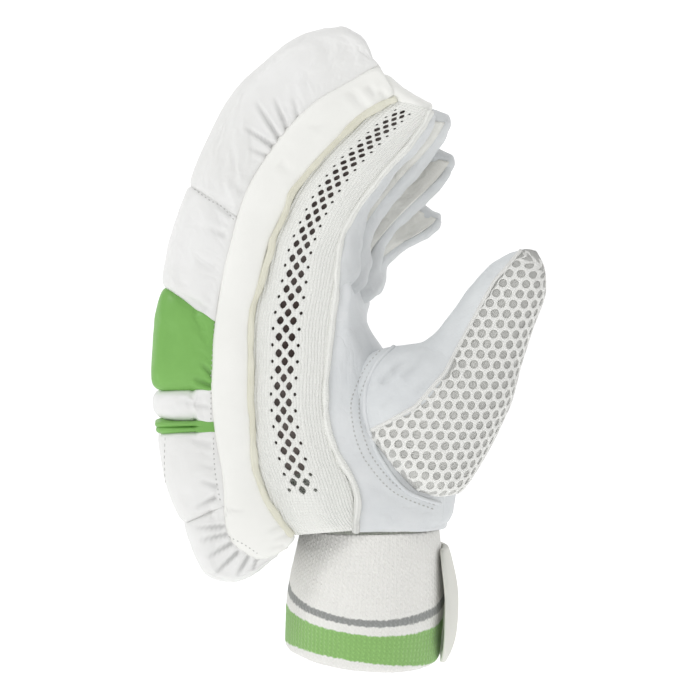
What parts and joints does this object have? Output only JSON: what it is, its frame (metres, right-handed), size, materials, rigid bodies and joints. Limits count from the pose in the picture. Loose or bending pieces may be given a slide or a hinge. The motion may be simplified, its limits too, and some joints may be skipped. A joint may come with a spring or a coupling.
{
  "type": "cricket batting glove, left hand",
  "caption": "Left-hand cricket batting glove with padded finger rolls on the back, pierced knit side wall, leather palm, spacer-mesh thumb and a striped towelling cuff with a closing tab.",
  "frame": {"origin": "centre of the cuff's wrist opening", "axes": "+Z from the wrist towards the fingertips, +X out of the palm, -Y towards the thumb and index finger"},
  "size_m": [0.1647, 0.1097, 0.2667],
  "materials": {
    "roll_white": "satin",
    "roll_green": "satin",
    "shell_white": "satin",
    "binding_cream": "matte",
    "knit_white": "matte",
    "lining_dark": "matte",
    "palm_leather": "satin",
    "thumb_mesh": "matte",
    "towelling": "matte",
    "stripe_green": "matte",
    "stripe_grey": "matte",
    "strap_cream": "satin"
  },
  "bodies": {
    "root": {"index_roll_hem": "roll_white", "index_roll_wrist": "roll_white", "index_roll_piping": "roll_green", "index_roll_knuckle": "roll_white", "index_roll_accent": "roll_green", "index_roll_mid": "roll_white", "index_roll_tip": "roll_white", "middle_roll_hem": "roll_white", "middle_roll_wrist": "roll_white", "middle_roll_piping": "roll_green", "middle_roll_knuckle": "roll_white", "middle_roll_accent": "roll_green", "middle_roll_mid": "roll_white", "middle_roll_tip": "roll_white", "ring_roll_hem": "roll_white", "ring_roll_wrist": "roll_white", "ring_roll_piping": "roll_green", "ring_roll_knuckle": "roll_white", "ring_roll_accent": "roll_green", "ring_roll_mid": "roll_white", "ring_roll_tip": "roll_white", "little_roll_hem": "roll_white", "little_roll_wrist": "roll_white", "little_roll_piping": "roll_green", "little_roll_knuckle": "roll_white", "little_roll_accent": "roll_green", "little_roll_mid": "roll_white", "little_roll_tip": "roll_white", "back_shell": "shell_white", "index_shell": "shell_white", "middle_shell": "shell_white", "ring_shell": "shell_white", "little_shell": "shell_white", "index_side_band": "shell_white", "little_side_band": "shell_white", "index_gusset": "knit_white", "little_gusset": "knit_white", "gusset_lining": "lining_dark", "fourchette_index": "knit_white", "fourchette_middle": "knit_white", "fourchette_ring": "knit_white", "thumb_leather": "palm_leather", "thumb_mesh": "thumb_mesh", "palm_leather": "palm_leather", "index_front": "palm_leather", "middle_front": "palm_leather", "ring_front": "palm_leather", "little_front": "palm_leather", "index_binding": "binding_cream", "little_binding": "binding_cream", "cuff_hem": "towelling", "cuff_stripe_green": "stripe_green", "cuff_band": "towelling", "cuff_stripe_grey": "stripe_grey", "cuff_top": "towelling", "wrist_strap": "strap_cream"}
  },
  "joints": []
}
